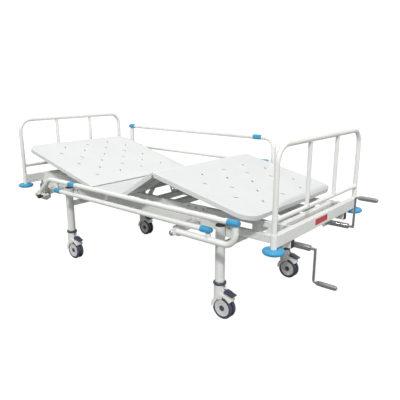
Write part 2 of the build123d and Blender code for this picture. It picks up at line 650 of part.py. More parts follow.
# --- screw bearer: plate across the main rails, two bearing bosses with housings --------------
with BuildPart() as screw_bearer:
    with BuildSketch(Plane.YZ.offset(mid_x + 997)):
        with BuildLine():
            Polyline((-rail_y0, 480), (-rail_y0, 512), (rail_y0, 512), (rail_y0, 480), (255, 440),
                     (200, 440), (160, 478), (-160, 478), (-200, 440), (-255, 440), close=True)
        make_face()
    extrude(amount=6)
    with BuildSketch(Plane.YZ.offset(mid_x + 985)):
        with Locations((-screw_y, screw_z), (screw_y, screw_z)):
            Circle(19)
    extrude(amount=26)
    with BuildSketch(Plane.YZ.offset(mid_x + 700)):
        with Locations((-screw_y, screw_z), (screw_y, screw_z)):
            Circle(19)
            Circle(17, mode=Mode.SUBTRACT)
    extrude(amount=285)
    with BuildSketch(Plane.YZ.offset(mid_x + 984)):
        with Locations((-screw_y, screw_z), (screw_y, screw_z)):
            Circle(8.08)
    extrude(amount=30, mode=Mode.SUBTRACT)
screw_bearer.part.label = "screw_bearer"
export_step(screw_bearer.part, "parts/screw_bearer.step")

# --- cranks, grips and push tubes ----------------------------------------------------------------
k_back, k_knee = 2.51, 2.36                      # pin travel, mm per degree of lever
pin_back = back_hinge_x + k_back * (35 - back_angle)
pin_knee = thigh_hinge_x + k_knee * (thigh_angle - 20)
for name, side, arm_up, pin_x, foot_end in (
        ("back", 1, 1, pin_back, mid_x + 860), ("knee", -1, -1, pin_knee, mid_x + 800)):
    y = side * screw_y
    grip_z = screw_z + arm_up * crank_arm
    turn = Plane(origin=(0, y, screw_z), x_dir=(1, 0, 0), z_dir=(0, -1, 0))
    with BuildPart() as crank:
        with BuildSketch(turn):
            with BuildLine():
                Polyline((mid_x + 660, 0), (mid_x + 660, 6.5), (mid_x + 661.5, 8), (mid_x + 1011.4, 8),
                         (mid_x + 1011.4, 12.5), (mid_x + 1014, 14.5), (mid_x + 1132, 14.5),
                         (mid_x + 1135, 12), (mid_x + 1135, 6), (mid_x + 1165, 6), (mid_x + 1165, 0),
                         close=True)
            make_face()
        revolve(axis=Axis((0, y, screw_z), (1, 0, 0)))
        with BuildLine(turn) as bend:
            FilletPolyline((mid_x + 1136, 0), (mid_x + 1160, 0), (mid_x + 1160, arm_up * crank_arm),
                           (mid_x + 1176, arm_up * crank_arm), radius=12)
        with BuildSketch(Plane(origin=bend.line @ 0, z_dir=(1, 0, 0))):
            Circle(6.4)
        sweep(path=bend.line)
        with BuildSketch(Plane(origin=(mid_x + 1174, y, grip_z), z_dir=(1, 0, 0))):
            Circle(5)
        extrude(amount=103.5)
        with BuildSketch(Plane(origin=(mid_x + 1277.5, y, grip_z), z_dir=(1, 0, 0))):
            Circle(7.5)
        extrude(amount=2.5)
    crank.part.label = f"crank_{name}"
    export_step(crank.part, f"parts/crank_{name}.step")

    with BuildPart() as crank_grip:
        with BuildSketch(Plane(origin=(0, y, grip_z), x_dir=(1, 0, 0), z_dir=(0, -1, 0))):
            with BuildLine():
                Polyline((mid_x + 1177, 5.08), (mid_x + 1177, 9), (mid_x + 1180, 11.5),
                         (mid_x + 1200, 12.5), (mid_x + 1255, 12.5), (mid_x + 1274, 11.5),
                         (mid_x + 1277, 9), (mid_x + 1277, 5.08), close=True)
            make_face()
        revolve(axis=Axis((0, y, grip_z), (1, 0, 0)))
    crank_grip.part.label = f"crank_grip_{name}"
    export_step(crank_grip.part, f"parts/crank_grip_{name}.step")

    with BuildPart() as push_tube:
        with BuildSketch(Plane(origin=(pin_x + 45, y, screw_z), z_dir=(1, 0, 0))):
            Circle(15)
        extrude(amount=foot_end - pin_x - 45)
        with BuildSketch(Plane(origin=(pin_x + 57, y, screw_z), z_dir=(1, 0, 0))):
            Circle(12)
        extrude(amount=foot_end - 30 - pin_x - 57, mode=Mode.SUBTRACT)
        with BuildSketch(Plane(origin=(foot_end - 31, y, screw_z), z_dir=(1, 0, 0))):
            Circle(8.08)
        extrude(amount=40, mode=Mode.SUBTRACT)
        for o in (-1, 1):
            with BuildSketch(Plane(origin=(pin_x, y + o * 7, screw_z), x_dir=(1, 0, 0),
                                   z_dir=(0, -1, 0))):
                Circle(12)
                with Locations((24, 0)):
                    Rectangle(48, 24)
            extrude(amount=2.5, both=True)
        with BuildSketch(Plane(origin=(pin_x, y, screw_z), x_dir=(1, 0, 0), z_dir=(0, -1, 0))):
            Circle(6)
        extrude(amount=12.5, both=True)
    push_tube.part.label = f"push_tube_{name}"
    export_step(push_tube.part, f"parts/push_tube_{name}.step")

# --- side rail brackets on the main rails -----------------------------------------------------------
with BuildPart() as rail_brackets:
    for side in (-1, 1):
        for px, reach, half_x, half_z in ((pivot_foot_x, 470, 26, 24), (pivot_head_x, 455, 0, 0)):
            # origin at the pivot's height, so the flipped y of the far side is harmless
            face = Plane(origin=(px, side * rail_y1, 495), x_dir=(1, 0, 0), z_dir=(0, side, 0))
            with BuildSketch(face):
                Rectangle(92, 36)
                with Locations((-34, 0), (34, 0)):
                    Circle(4.1, mode=Mode.SUBTRACT)
            extrude(amount=5)
            for fx in (-20, 20):
                with BuildSketch(Plane(origin=(px + fx, side * rail_y1, 0), x_dir=(0, side, 0),
                                       z_dir=(side, 0, 0))):
                    with BuildLine():
                        Polyline((4, 478), (4, 512), (reach - rail_y1, 500), (reach - rail_y1, 462),
                                 close=True)
                    make_face()
                extrude(amount=2.5, both=True)
            if half_x:
                boss = Plane(origin=(px, side * reach, pivot_z), x_dir=(1, 0, 0), z_dir=(0, side, 0))
                with BuildSketch(boss):
                    RectangleRounded(2 * half_x, 2 * half_z, 6)
                extrude(amount=6)
                with BuildSketch(boss.offset(-1)):
                    Circle(8.05)
                extrude(amount=8, mode=Mode.SUBTRACT)
rail_brackets.part.label = "rail_brackets"
export_step(rail_brackets.part, "parts/rail_brackets.step")

# --- lock plates: holes for rail down and rail up ------------------------------------------------------
with BuildPart() as lock_plates:
    for side in (-1, 1):
        face = Plane(origin=(pivot_head_x, side * 455, pivot_z), x_dir=(1, 0, 0), z_dir=(0, side, 0))
        up = 1 if face.y_dir.Z > 0 else -1
        with BuildSketch(face):
            with BuildLine():
                Polyline((-46, -46 * up), (24, -46 * up), (76, -20 * up), (78, 0), (72.1, 29.8 * up),
                         (55.2, 55.2 * up), (29.8, 72.1 * up), (0, 78 * up), (-20, 76 * up),
                         (-46, 60 * up), close=True)
            make_face()
            Circle(8.05, mode=Mode.SUBTRACT)
            with Locations((60, 0), (0, 60 * up)):
                Circle(6.6, mode=Mode.SUBTRACT)
        extrude(amount=5)
lock_plates.part.label = "lock_plates"
export_step(lock_plates.part, "parts/lock_plates.step")

# --- side rail pivots ------------------------------------------------------------------------------------
with BuildPart() as rail_pivots:
    for side in (-1, 1):
        for px, seat in ((pivot_foot_x, 476), (pivot_head_x, 460)):
            spot = Plane(origin=(px, 0, pivot_z), x_dir=(0, side, 0), z_dir=(side, 0, 0))
            with BuildSketch(spot):
                with BuildLine():
                    Polyline((seat - 10, 0), (seat - 10, 8), (seat, 8), (seat, 13), (483.6, 13),
                             (483.6, 8), (516.4, 8), (516.4, 12), (520, 12), (522, 10), (522, 0),
                             close=True)
                make_face()
            revolve(axis=Axis((px, 0, pivot_z), (0, 1, 0)))
rail_pivots.part.label = "rail_pivots"
export_step(rail_pivots.part, "parts/rail_pivots.step")

# --- side rails ---------------------------------------------------------------------------------------------
# Built in each rail's own plane: u along the lowered rail, w square to it.  The
# near rail is down, the far rail is up, a quarter turn further round.
span = pivot_foot_x - pivot_head_x
for name, side in (("near", -1), ("far", 1)):
    u_dir = (1, 0, 0) if side < 0 else (0, 0, 1)
    foot = Plane(origin=(pivot_foot_x, side * rail_plane_y, pivot_z), x_dir=u_dir, z_dir=(0, -1, 0))
    head = Plane(origin=(pivot_head_x, side * rail_plane_y, pivot_z), x_dir=u_dir, z_dir=(0, -1, 0))
    out = 1 if side < 0 else -1                  # outboard along the plane's normal

    with BuildPart() as foot_upright:
        with BuildLine(foot) as run:
            FilletPolyline((10, 12), (pin_u, 12), (pin_u, pin_w - 22), radius=66)
        with BuildSketch(Plane(origin=run.line @ 0, z_dir=run.line % 0)):
            Circle(upright_r)
        sweep(path=run.line)
        with BuildSketch(Plane(origin=foot.from_local_coords(Vector(low_u, 12, 0)), z_dir=foot.y_dir)):
            Circle(14)
        extrude(amount=low_w - 12 - 21)
        with BuildSketch(Plane(origin=run.line @ 0, z_dir=run.line % 0)):
            Circle(upright_r - 2.2)
        sweep(path=run.line, mode=Mode.SUBTRACT)
        with BuildSketch(Plane(origin=run.line @ 1, z_dir=-(run.line % 1))):
            Circle(upright_r)
        extrude(amount=5)
        with BuildSketch(foot):
            Circle(17)
            with Locations((20, 12)):
                Rectangle(24, 30)
        extrude(amount=15.9, both=True)
        with BuildSketch(foot):
            Circle(8.08)
        extrude(amount=20, both=True, mode=Mode.SUBTRACT)
        with BuildSketch(foot):
            for u, w in ((pin_u, pin_w), (low_u, low_w)):
                with Locations((u, w)):
                    Circle(12)
                with Locations((u, w - 15)):
                    Rectangle(24, 30)
            for u, w in ((pin_u, pin_w), (low_u, low_w)):
                with Locations((u, w)):
                    Circle(4.08, mode=Mode.SUBTRACT)
        extrude(amount=5, both=True)
    foot_upright.part.label = f"foot_upright_{name}"
    export_step(foot_upright.part, f"parts/foot_upright_{name}.step")

    with BuildPart() as head_upright:
        with BuildLine(head) as run:
            FilletPolyline((8, 6.4), (150, pin_w), (pin_u - 22, pin_w), radius=70)
        with BuildSketch(Plane(origin=run.line @ 0, z_dir=run.line % 0)):
            Circle(upright_r)
        sweep(path=run.line)
        with BuildSketch(Plane(origin=head.from_local_coords(Vector(low_u, pin_w, 0)),
                               z_dir=-head.y_dir)):
            Circle(14)
        extrude(amount=pin_w - low_w - 21)
        with BuildSketch(Plane(origin=run.line @ 0, z_dir=run.line % 0)):
            Circle(upright_r - 2.2)
        sweep(path=run.line, mode=Mode.SUBTRACT)
        with BuildSketch(Plane(origin=run.line @ 1, z_dir=-(run.line % 1))):
            Circle(upright_r)
        extrude(amount=5)
        with BuildSketch(head):
            Circle(17)
            with Locations(Location((22, 18.4, 0), (0, 0, 40.6))):
                Rectangle(24, 30)
        extrude(amount=15.9, both=True)
        with BuildSketch(head):
            Circle(8.08)
        extrude(amount=20, both=True, mode=Mode.SUBTRACT)
        with BuildSketch(head):
            for u, w, du, dw in ((pin_u, pin_w, -15, 0), (low_u, low_w, 0, 15)):
                with Locations((u, w)):
                    Circle(12)
                with Locations((u + du, w + dw)):
                    Rectangle(30 if du else 24, 30 if dw else 24)
            for u, w in ((pin_u, pin_w), (low_u, low_w)):
                with Locations((u, w)):
                    Circle(4.6, mode=Mode.SUBTRACT)
        extrude(amount=5, both=True)
        # arm and bush for the lock plunger
        with BuildSketch(head):
            with BuildLine():
                Polyline((10, -8), (60, -12), (60, 12), (44, 30), (14, 14), close=True)
            make_face()
        extrude(amount=5, both=True)
        with BuildSketch(head.offset(-34 * out)):
            with Locations((60, 0)):
                Circle(12)
        extrude(amount=40 * out)
        with BuildSketch(head.offset(-35 * out)):
            with Locations((60, 0)):
                Circle(6.08)
        extrude(amount=45 * out, mode=Mode.SUBTRACT)
    head_upright.part.label = f"head_upright_{name}"
    export_step(head_upright.part, f"parts/head_upright_{name}.step")

    # plunger, drawn back clear of the lock plate
    with BuildPart() as lock_plunger:
        with BuildSketch(head.offset(-39 * out)):
            with Locations((60, 0)):
                Circle(6)
        extrude(amount=60 * out)
        with BuildSketch(head.offset(19 * out)):
            with Locations((60, 0)):
                Circle(9)
        extrude(amount=4 * out)
        with BuildSketch(head.offset(23 * out)):
            with Locations((60, 0)):
                Circle(14)
        extrude(amount=20 * out)
        chamfer(lock_plunger.edges().filter_by(GeomType.CIRCLE).filter_by(
            lambda e: e.radius > 13), 3)
    lock_plunger.part.label = f"lock_plunger_{name}"
    export_step(lock_plunger.part, f"parts/lock_plunger_{name}.step")

    # long bars with their clevis caps; the bars lie level whichever way the rail stands
    for level, u, w in (("upper", pin_u, pin_w), ("lower", low_u, low_w)):
        foot_pin = foot.from_local_coords(Vector(u, w, 0))
        head_pin = head.from_local_coords(Vector(u, w, 0))
        length = foot_pin.X - head_pin.X
        with BuildPart() as bar:
            with BuildSketch(Plane(origin=head_pin + Vector(21, 0, 0), z_dir=(1, 0, 0))):
                Circle(bar_r)
                Circle(bar_r - 2, mode=Mode.SUBTRACT)
            extrude(amount=length - 42)
        bar.part.label = f"{level}_bar_{name}"
        export_step(bar.part, f"parts/{level}_bar_{name}.step")

        # clevis caps: slots open toward the tip and toward the side the upright sweeps
        with BuildPart() as caps:
            for at, tip in ((foot_pin, 1), (head_pin, -1)):
                flat = Plane(origin=at, x_dir=(tip, 0, 0), z_dir=(0, -tip, 0))
                opens = 1 if (level == "lower" and tip < 0) else -1
                with BuildSketch(Plane(origin=at + Vector(-tip * 44, 0, 0), z_dir=(tip, 0, 0))):
                    Circle(cap_r)
                extrude(amount=65)
                with BuildSketch(Plane(origin=at + Vector(-tip * 45, 0, 0), z_dir=(tip, 0, 0))):
                    Circle(bar_r + 0.02)
                extrude(amount=24.02, mode=Mode.SUBTRACT)
                # tip rounded about the pin
                with BuildSketch(flat):
                    with Locations((20, 0)):
                        Rectangle(40, 60)
                    Circle(19, mode=Mode.SUBTRACT)
                extrude(amount=30, both=True, mode=Mode.SUBTRACT)
                with BuildSketch(flat):
                    with Locations((10, opens * 10)):
                        Rectangle(47, 47)
                extrude(amount=5.5, both=True, mode=Mode.SUBTRACT)
                with BuildSketch(flat):
                    Circle(4.05)
                extrude(amount=30, both=True, mode=Mode.SUBTRACT)
            # clevis pins with flat heads, separate solids of the same node
            for at in (foot_pin, head_pin):
                flat = Plane(origin=at, x_dir=(1, 0, 0), z_dir=(0, -1, 0))
                with BuildSketch(flat):
                    Circle(4)
                extrude(amount=17.5, both=True)
                for o in (-1, 1):
                    with BuildSketch(flat.offset(o * 17.1)):
                        Circle(7)
                    extrude(amount=o * 2)
        caps.part.label = f"{level}_caps_{name}"
        export_step(caps.part, f"parts/{level}_caps_{name}.step")
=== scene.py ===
import json
import math
import random

import bmesh
import bpy
from mathutils import Matrix, Vector


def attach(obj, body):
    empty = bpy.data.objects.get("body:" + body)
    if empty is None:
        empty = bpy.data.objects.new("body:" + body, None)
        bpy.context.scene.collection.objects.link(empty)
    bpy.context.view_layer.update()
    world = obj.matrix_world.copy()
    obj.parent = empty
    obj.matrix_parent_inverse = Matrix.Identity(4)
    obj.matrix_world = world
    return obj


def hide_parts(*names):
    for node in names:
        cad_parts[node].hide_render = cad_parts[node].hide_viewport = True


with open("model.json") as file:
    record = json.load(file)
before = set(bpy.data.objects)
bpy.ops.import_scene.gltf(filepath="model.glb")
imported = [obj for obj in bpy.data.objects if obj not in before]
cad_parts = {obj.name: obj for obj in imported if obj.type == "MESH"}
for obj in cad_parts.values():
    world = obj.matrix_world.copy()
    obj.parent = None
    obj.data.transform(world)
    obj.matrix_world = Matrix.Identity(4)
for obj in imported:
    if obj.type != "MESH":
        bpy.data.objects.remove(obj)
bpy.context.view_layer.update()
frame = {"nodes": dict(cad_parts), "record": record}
random.seed(7)
MX = -0.08125                       # middle of the bed along X
col = bpy.context.scene.collection

# ------------------------------------------------------------------ materials


class Graph:
    """A few lines of shorthand for one material's nodes."""

    def __init__(self, name):
        self.mat = bpy.data.materials.new(name)
        self.mat.use_nodes = True
        self.nt = self.mat.node_tree
        self.bsdf = self.nt.nodes["Principled BSDF"]
        self.coord = self.nt.nodes.new("ShaderNodeTexCoord").outputs["Object"]

    def node(self, kind, **inputs):
        n = self.nt.nodes.new(kind)
        for k, v in inputs.items():
            if isinstance(v, bpy.types.NodeSocket):
                self.nt.links.new(v, n.inputs[k])
            else:
                n.inputs[k].default_value = v
        return n

    def noise(self, scale, detail=2.0, rough=0.5, vec=None):
        return self.node("ShaderNodeTexNoise", Vector=vec or self.coord, Scale=scale, Detail=detail,
                         Roughness=rough).outputs["Fac"]

    def ramp(self, fac, stops):
        n = self.node("ShaderNodeValToRGB", Fac=fac)
        cr = n.color_ramp
        while len(cr.elements) < len(stops):
            cr.elements.new(0.5)
        for e, (p, c) in zip(cr.elements, stops):
            e.position = p
            e.color = (*c, 1) if len(c) == 3 else c
        return n.outputs["Color"]

    def mapped(self, lo, hi, fac, a=0.0, b=1.0):
        n = self.node("ShaderNodeMapRange", Value=fac)
        n.inputs["From Min"].default_value = a
        n.inputs["From Max"].default_value = b
        n.inputs["To Min"].default_value = lo
        n.inputs["To Max"].default_value = hi
        return n.outputs["Result"]

    def bump(self, height, strength, distance, normal=None):
        n = self.node("ShaderNodeBump", Height=height, Strength=strength, Distance=distance)
        if normal is not None:
            self.nt.links.new(normal, n.inputs["Normal"])
        return n.outputs["Normal"]

    def to(self, socket, value):
        if isinstance(value, bpy.types.NodeSocket):
            self.nt.links.new(value, self.bsdf.inputs[socket])
        else:
            self.bsdf.inputs[socket].default_value = value


def shade(c, k):
    return tuple(min(1.0, v * k) for v in c)


def enamel(name, c, rough=0.36, worn=0.0):
    """Baked enamel: orange peel, faint cloudiness, a little handling grime."""
    g = Graph(name)
    cloud = g.noise(5.0, 4.0, 0.55)
    base = g.ramp(cloud, [(0.25, shade(c, 0.955)), (0.75, shade(c, 1.02))])
    if worn:
        specks = g.noise(160.0, 3.0, 0.7)
        mask = g.mapped(0.0, 1.0, specks, 0.70, 0.76)
        mix = g.nt.nodes.new("ShaderNodeMix")
        mix.data_type = "RGBA"
        g.nt.links.new(mask, mix.inputs[0])
        g.nt.links.new(base, mix.inputs[6])
        mix.inputs[7].default_value = (*shade(c, 1 - worn), 1)
        base = mix.outputs[2]
    g.to("Base Color", base)
    g.to("Roughness", g.mapped(rough - 0.06, rough + 0.10, g.noise(22.0, 5.0, 0.6), 0.3, 0.7))
    g.to("Coat Weight", 0.25)
    g.to("Coat Roughness", 0.12)
    peel = g.noise(650.0, 2.0, 0.5)
    g.to("Normal", g.bump(peel, 0.10, 0.0004))
    return g.mat


def metal(name, c, rough=0.14, scratch=0.06, aniso=0.0):
    """Plated or bare metal with fine handling scratches."""
    g = Graph(name)
    sx = g.node("ShaderNodeMapping", Vector=g.coord)
    sx.inputs["Scale"].default_value = (6, 260, 260)
    fine = g.noise(3.0, 6.0, 0.65, sx.outputs["Vector"])
    blot = g.noise(30.0, 4.0, 0.6)
    g.to("Base Color", g.ramp(blot, [(0.3, shade(c, 0.90)), (0.7, shade(c, 1.05))]))
    g.to("Metallic", 1.0)
    g.to("Roughness", g.mapped(rough, rough + 0.16, fine, 0.35, 0.75))
    g.to("Normal", g.bump(fine, scratch, 0.0003))
    return g.mat


def moulded(name, c, rough=0.45, grain=480.0, spread=0.06, coat=0.0):
    """Moulded plastic or rubber: fine pitted grain, slight colour drift, scuffs."""
    g = Graph(name)
    cloud = g.noise(11.0, 4.0, 0.6)
    g.to("Base Color", g.ramp(cloud, [(0.3, shade(c, 1 - spread)), (0.72, shade(c, 1 + spread))]))
    g.to("Roughness", g.mapped(rough - 0.08, rough + 0.12, g.noise(60.0, 5.0, 0.65), 0.3, 0.7))
    g.to("Coat Weight", coat)
    vor = g.node("ShaderNodeTexVoronoi", Vector=g.coord, Scale=grain)
    g.to("Normal", g.bump(vor.outputs["Distance"], 0.12, 0.0003))
    return g.mat


M = {
    "frame_paint": enamel("enamel_frame", (0.825, 0.830, 0.790), 0.36, 0.10),
    "panel_paint": enamel("enamel_panel", (0.715, 0.730, 0.716), 0.40, 0.06),
    "zinc_steel": metal("zinc_plate", (0.62, 0.60, 0.55), 0.30, 0.10),
    "chrome": metal("chrome_plate", (0.50, 0.50, 0.52), 0.06, 0.02),
    "blue_plastic": moulded("blue_moulding", (0.043, 0.330, 0.600), 0.38, 520.0, 0.05, 0.2),
    "black_plastic": moulded("black_moulding", (0.030, 0.024, 0.022), 0.42, 420.0, 0.15),
    "dark_plastic": moulded("slate_moulding", (0.060, 0.072, 0.100), 0.42, 420.0, 0.10, 0.1),
    "castor_grey": moulded("cream_moulding", (0.80, 0.80, 0.765), 0.32, 520.0, 0.03, 0.3),
    "castor_tyre": moulded("tyre_rubber", (0.060, 0.070, 0.098), 0.55, 300.0, 0.12),
    "hub_grey": moulded("hub_moulding", (0.64, 0.65, 0.64), 0.36, 520.0, 0.04, 0.2),
    "label_red": moulded("label_print", (0.56, 0.012, 0.028), 0.35, 700.0, 0.05, 0.4),
    # painted shade: near-black enamel on the turned-down lips inside the slots stands in for the shade in each slot
    "slot_shade_paint": enamel("enamel_slot_shade", (0.17, 0.175, 0.18), 0.50),
    "weld": enamel("enamel_weld", (0.80, 0.805, 0.77), 0.42),
    # painted shade: bluish-grey colour for the strips that stand in for the shade in the back hinge gap
    "gap_shade_grey": moulded("gap_shade_strip", (0.27, 0.30, 0.335), 0.50, 420.0, 0.06),
}
for part in frame["record"]["subparts"]:
    o = frame["nodes"][part["node"]]
    o.data.materials.clear()
    o.data.materials.append(M[part["material_slot"]])

# ------------------------------------------------------------------ piece makers


def finish_mesh(name, bm, mat, body, smooth=True, bevel=0.0):
    bmesh.ops.recalc_face_normals(bm, faces=bm.faces)
    me = bpy.data.meshes.new(name)
    bm.to_mesh(me)
    bm.free()
    o = bpy.data.objects.new(name, me)
    col.objects.link(o)
    me.materials.append(M[mat])
    if smooth:
        for p in me.polygons:
            p.use_smooth = True
    if bevel:
        m = o.modifiers.new("edge", "BEVEL")
        m.width = bevel
        m.segments = 2
        m.limit_method = "ANGLE"
        m.angle_limit = math.radians(40)
    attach(o, body)
    return o


def basis(axis):
    z = Vector(axis).normalized()
    x = z.orthogonal().normalized()
    return Matrix((x, z.cross(x), z)).transposed()


def lathe(name, profile, at, axis, mat, body, segs=64, closed=True, wave=None):
    """Turned piece: profile of (radius, height along axis)."""
    bm = bmesh.new()
    b = basis(axis)
    rings = []
    for i in range(segs):
        a = 2 * math.pi * i / segs
        ring = []
        for r, h in profile:
            rr = r + (wave(a, h) if wave and r > 1e-6 else 0.0)
            ring.append(bm.verts.new(Vector(at) + b @ Vector((rr * math.cos(a), rr * math.sin(a), h))))
        rings.append(ring)
    n = len(profile)
    for i in range(segs):
        p, q = rings[i], rings[(i + 1) % segs]
        for k in range(n if closed else n - 1):
            j = (k + 1) % n
            bm.faces.new((p[k], q[k], q[j], p[j]))
    bmesh.ops.remove_doubles(bm, verts=bm.verts, dist=1e-7)
    return finish_mesh(name, bm, mat, body)


def bead(name, at, axis, radius, body, thick=0.0022, segs=72, arc=(0.0, 2 * math.pi)):
    """Fillet weld around a tube: a ring with the ripples a torch leaves."""
    bm = bmesh.new()
    b = basis(axis)
    rings = []
    for i in range(segs):
        a = arc[0] + (arc[1] - arc[0]) * i / segs
        t = thick * (1 + 0.16 * math.sin(a * 23) + 0.06 * math.sin(a * 7 + 1))
        ring = []
        for k in range(8):
            u = 2 * math.pi * k / 8
            r = radius + t * math.cos(u)
            ring.append(bm.verts.new(Vector(at) + b @ Vector((r * math.cos(a), r * math.sin(a),
                                                              t * math.sin(u)))))
        rings.append(ring)
    for i in range(segs):
        p, q = rings[i], rings[(i + 1) % segs]
        for k in range(8):
            bm.faces.new((p[k], q[k], q[(k + 1) % 8], p[(k + 1) % 8]))
    return finish_mesh(name, bm, "weld", body)


def plate(name, at, size, mat, body, bevel=0.001, rot=None, radius=0.0):
    """Thin plate with rounded corners in its own XY, thickness along Z."""
    bm = bmesh.new()
    sx, sy, sz = size
    pts = []
    if radius:
        for cx, cy, a0 in ((1, 1, 0), (-1, 1, 90), (-1, -1, 180), (1, -1, 270)):
            for k in range(7):
                a = math.radians(a0 + 15 * k)
                pts.append((cx * (sx / 2 - radius) + radius * math.cos(a),
                            cy * (sy / 2 - radius) + radius * math.sin(a)))
    else:
        pts = [(sx / 2, sy / 2), (-sx / 2, sy / 2), (-sx / 2, -sy / 2), (sx / 2, -sy / 2)]
    m = rot or Matrix.Identity(3)
    low = [bm.verts.new(Vector(at) + m @ Vector((x, y, -sz / 2))) for x, y in pts]
    top = [bm.verts.new(Vector(at) + m @ Vector((x, y, sz / 2))) for x, y in pts]
    bm.faces.new(low[::-1])
    bm.faces.new(top)
    for i in range(len(pts)):
        j = (i + 1) % len(pts)
        bm.faces.new((low[i], low[j], top[j], top[i]))
    return finish_mesh(name, bm, mat, body, smooth=False, bevel=bevel)


# ------------------------------------------------------------------ castors: wheels as moulded pieces
R, TRAIL = 0.0625, 0.032
LEG = {"head": MX - 0.670, "foot": MX + 0.682}
LY = 0.3501
CORNERS = {"head_near": ("head", -1), "head_far": ("head", 1),
           "foot_near": ("foot", -1), "foot_far": ("foot", 1)}
for name, (end, side) in CORNERS.items():
    hub_at = (LEG[end] + TRAIL, side * LY, R)
    body = f"wheel_{name}"
    made = []
    for o in (-1, 1):
        ax = (0, o, 0)

        def grooves(a, h):
            return -0.0005 if (0.008 < h < 0.021 and int(a * 180 / math.pi / 3) % 2) else 0.0

        tyre = lathe(f"tyre_{name}_{'in' if o < 0 else 'out'}",
                     [(0.0470, 0.0052), (0.0575, 0.0054), (0.0605, 0.0072), (0.0620, 0.0102), (0.0625, 0.0135),
                      (0.0625, 0.0165), (0.0619, 0.0195), (0.0603, 0.0220), (0.0575, 0.0234), (0.0530, 0.0238),
                      (0.0495, 0.0236), (0.0470, 0.0230)],
                     hub_at, ax, "castor_tyre", body, 120)
        # hub disc with stepped rings
        prof = [(0.0, 0.0045), (0.0469, 0.0052), (0.0469, 0.0226), (0.0456, 0.0230), (0.0442, 0.0228),
                (0.0428, 0.0212), (0.0406, 0.0206), (0.0388, 0.0216), (0.0362, 0.0218), (0.0345, 0.0206),
                (0.0322, 0.0198), (0.0300, 0.0208), (0.0280, 0.0212), (0.0260, 0.0206), (0.0240, 0.0192),
                (0.0200, 0.0190), (0.0180, 0.0205), (0.0, 0.0205)]
        hub = lathe(f"hub_{name}_{'in' if o < 0 else 'out'}", prof, hub_at, ax, "hub_grey", body, 96)
        cap = lathe(f"hubcap_{name}_{'in' if o < 0 else 'out'}",
                    [(0.0, 0.0200), (0.0158, 0.0200), (0.0158, 0.0228), (0.0146, 0.0238), (0.0120, 0.0240),
                     (0.0110, 0.0233), (0.0060, 0.0231), (0.0, 0.0233)],
                    hub_at, ax, "dark_plastic", body, 64)
        made += [tyre, hub, cap]
    axle = lathe(f"axle_{name}", [(0.0, -0.0050), (0.0059, -0.0050), (0.0059, 0.0050), (0.0, 0.0050)],
                 hub_at, (0, 1, 0), "zinc_steel", body, 48)
    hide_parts(f"castor_wheel_{name}")
    # collar step and grease ring where the stem meets the leg
    lathe(f"collar_lip_{name}", [(0.0345, 0.1955), (0.0362, 0.1962), (0.0362, 0.1985), (0.0345, 0.1992)],
          (LEG[end], side * LY, 0), (0, 0, 1), "dark_plastic", "root", 96)
    # moulded shoulder of the hood, under the pedal and clear of it when pressed
    bm = bmesh.new()
    outline = [(0.018, 0.1305), (0.018, 0.146), (0.030, 0.1435), (0.044, 0.1425), (0.058, 0.1400), (0.069, 0.1350),
               (0.078, 0.1285), (0.0845, 0.1200), (0.0870, 0.1120), (0.0835, 0.1075), (0.0740, 0.1160),
               (0.0600, 0.1240), (0.0440, 0.1290), (0.0300, 0.1300)]
    low = [bm.verts.new(Vector((LEG[end] + x, side * LY - 0.0255, z))) for x, z in outline]
    top = [bm.verts.new(Vector((LEG[end] + x, side * LY + 0.0255, z))) for x, z in outline]
    bm.faces.new(low)
    bm.faces.new(top[::-1])
    for i in range(len(outline)):
        j = (i + 1) % len(outline)
        bm.faces.new((low[i], top[i], top[j], low[j]))
    finish_mesh(f"hood_shoulder_{name}", bm, "castor_grey", f"castor_{name}", smooth=False, bevel=0.0015)
    # ribbed tread plate of the pedal
    for k in range(5):
        step = 0.064 + 0.007 * k
        x = LEG[end] + step
        z = 0.1615 - 0.409 * (step - 0.060) if step < 0.082 else 0.1525 - 0.25 * (step - 0.082)
        lathe(f"pedal_rib_{name}_{k}", [(0.0, -0.0158), (0.0011, -0.0158), (0.0014, -0.0150), (0.0014, 0.0150),
                                       (0.0011, 0.0158), (0.0, 0.0158)],
              (x, side * LY, z), (0, 1, 0), "dark_plastic", f"pedal_{name}", 16)

# ------------------------------------------------------------------ lying surface: pressed rims of the air slots
HALF_PI = math.pi / 2


LIP = [(0.0017 * math.cos(2 * math.pi * k / 8), 0.0011 * math.sin(2 * math.pi * k / 8)) for k in range(8)]
WALL = [(0.0, 0.0006), (0.0009, 0.0010), (0.0017, 0.0002), (0.0017, -0.0002), (0.0010, -0.0060),
        (0.0, -0.0060)]


def rim(name, at, x_dir, z_dir, turn, body, section, radius, mat, half=0.0085):
    """Oval ring round a slot: its section is given outward from the path and upward."""
    z = Vector(z_dir).normalized()
    x = Matrix.Rotation(math.radians(turn), 3, z) @ Vector(x_dir).normalized()
    y = z.cross(x)
    path = []
    for c, a0 in ((half, -HALF_PI), (-half, HALF_PI)):
        for k in range(9):
            a = a0 + math.pi * k / 8
            path.append((c + radius * math.cos(a), radius * math.sin(a), math.cos(a), math.sin(a)))
    bm = bmesh.new()
    rings = []
    for px, py, nx, ny in path:
        ring = []
        for o, h in section:
            ring.append(bm.verts.new(Vector(at) + x * (px + nx * o) + y * (py + ny * o) + z * h))
        rings.append(ring)
    for i in range(len(rings)):
        p, q = rings[i], rings[(i + 1) % len(rings)]
        for k in range(len(section)):
            j = (k + 1) % len(section)
            bm.faces.new((p[k], q[k], q[j], p[j]))
    return finish_mesh(name, bm, mat, body)


